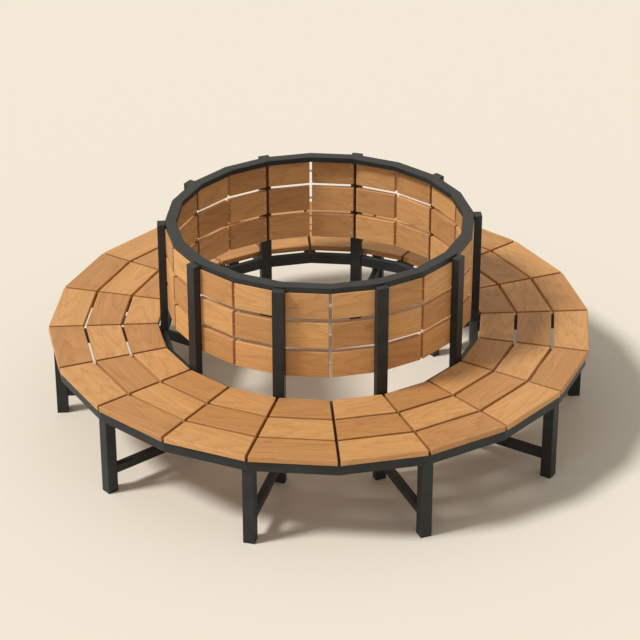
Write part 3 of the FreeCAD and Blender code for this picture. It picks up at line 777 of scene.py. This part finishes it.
def bolt_rings():
    """Rings of an M8 hexagon bolt along +X, from the face of its head to its tip. The hexagon's
    radius is its flats' over the cosine of the angle from the middle of a flat, and a cone at the
    chamfer's slope cuts its corners. The thread's radius swings once each pitch along the bolt, and
    lags by a pitch round the turn."""
    turn = (evenly_round(HEXAGON)[:, None] + ACROSS_FLAT).ravel()
    flat = BOLT_HEAD_WIDTH / 2
    hexagon = np.tile(flat / np.cos(ACROSS_FLAT), HEXAGON)
    circle = np.full(len(turn), flat * FACE_SHARE)
    along = np.arange(0, BOLT_LENGTH - THREAD_PITCH, THREAD_PITCH / RINGS_PER_PITCH)
    swing = np.abs((along[:, None] / THREAD_PITCH - turn / (2 * np.pi)) % 1 * 2 - 1)
    thread = BOLT_RADIUS - THREAD_DEPTH * swing
    tip = np.full(len(turn), BOLT_RADIUS - THREAD_PITCH)
    radii = np.vstack([circle, hexagon, hexagon, circle, circle, thread, tip])
    level = np.zeros_like(radii)
    level[0] = -BOLT_HEAD_HEIGHT
    level[1] = (hexagon - circle) * CHAMFER_SLOPE - BOLT_HEAD_HEIGHT
    level[2:4] = -WASHER_FACE
    level[5:-1] = along[:, None]
    level[-1] = BOLT_LENGTH
    return np.stack([level, radii * np.cos(turn), radii * np.sin(turn)], axis=-1)


outwards = bolt_rings()
upwards = outwards[..., [2, 1, 0]] * (-1, 1, 1)
head_rings = range(5)
bolt_skins = []
for joint, hand in split_joints.items():
    aside = hand * BOLT_ASIDE
    leaning = about_z(outwards, hand * HALF_ANGLE)[0]
    rim_spot = (corner_reach(rim_inner, aside), aside, (bearer_low.z + bearer_high.z) / 2)
    rail_spot = (corner_reach((rail_inner + back_inner) / 2, aside), aside, rail_low.z)
    cleat_aside = hand * (post_high.y + CLEAT_BOLT_OFFSET)
    cleat_spot = ((post_low.x + post_high.x) / 2, cleat_aside, bearer_low.z - CLEAT_WALL)
    for rings, spot in ((leaning, rim_spot), (upwards, rail_spot), (upwards, cleat_spot)):
        bolt_skins.append(skin(about_z(rings + spot, joint_angle(joint)), crisp=head_rings))
fitted(piece_of("hexagon_bolts", *bolt_skins), bright, "bright_steel", "splice_bolts")

# Studio: a pale painted floor, one soft main light from the left and an even pale room. What the
# camera and glossy surfaces see of the room is cream, and what lights the bench is close to grey.
CREAM = (0.880, 0.804, 0.665, 1)
FLOOR_PAINT = (0.884, 0.815, 0.689, 1)
ROOM_LIGHT = (0.420, 0.405, 0.380, 1)
FLOOR_REACH = 30.0
LIGHT_STRENGTH = 2.4
LIGHT_WIDTH = math.radians(12)
LIGHT_TILT = math.radians(40)
LIGHT_TURN = math.radians(-76)
floor_corners = np.array([(-1, -1, 0), (1, -1, 0), (1, 1, 0), (-1, 1, 0)]) * FLOOR_REACH
floor_mesh = bpy.data.meshes.new("floor")
floor_mesh.from_pydata(floor_corners.tolist(), [], [(0, 1, 2, 3)])
floor = bpy.data.objects.new("floor", floor_mesh)
bpy.context.scene.collection.objects.link(floor)
floor_mesh.materials.append(new_material("floor_paint", Base_Color=FLOOR_PAINT, Roughness=0.9)[0])

world = bpy.data.worlds.new("room")
bpy.context.scene.world = world
world.use_nodes = True
room = world.node_tree
rays = node(room, "LightPath").outputs
seen = rays["Is Camera Ray"]
for ray in ("Is Glossy Ray", "Is Transmission Ray"):
    seen = node(room, "Math", {0: seen, 1: rays[ray]}, operation="ADD", use_clamp=True).outputs[0]
feed(room, room.nodes["Background"], Color=mixed(room, seen, ROOM_LIGHT, CREAM))

main_light = bpy.data.lights.new("main_light", "SUN")
main_light.energy = LIGHT_STRENGTH
main_light.angle = LIGHT_WIDTH
lamp = bpy.data.objects.new("main_light", main_light)
lamp.rotation_euler = (LIGHT_TILT, 0, LIGHT_TURN)
bpy.context.scene.collection.objects.link(lamp)

# Camera: at the picture's viewing angle, aimed at the middle of the bench, with a long lens that
# fills the frame with it.
CAMERA_PLACE = Vector((-0.591, -9.136, 5.399))
AIM = Vector((0, 0, 0.42))
LENS = 132
camera_data = bpy.data.cameras.new("camera")
camera_data.lens = LENS
camera = bpy.data.objects.new("camera", camera_data)
camera.location = CAMERA_PLACE
camera.rotation_euler = (AIM - CAMERA_PLACE).to_track_quat("-Z", "Y").to_euler()
bpy.context.scene.collection.objects.link(camera)
bpy.context.scene.camera = camera
bpy.context.scene.view_settings.view_transform = "Standard"
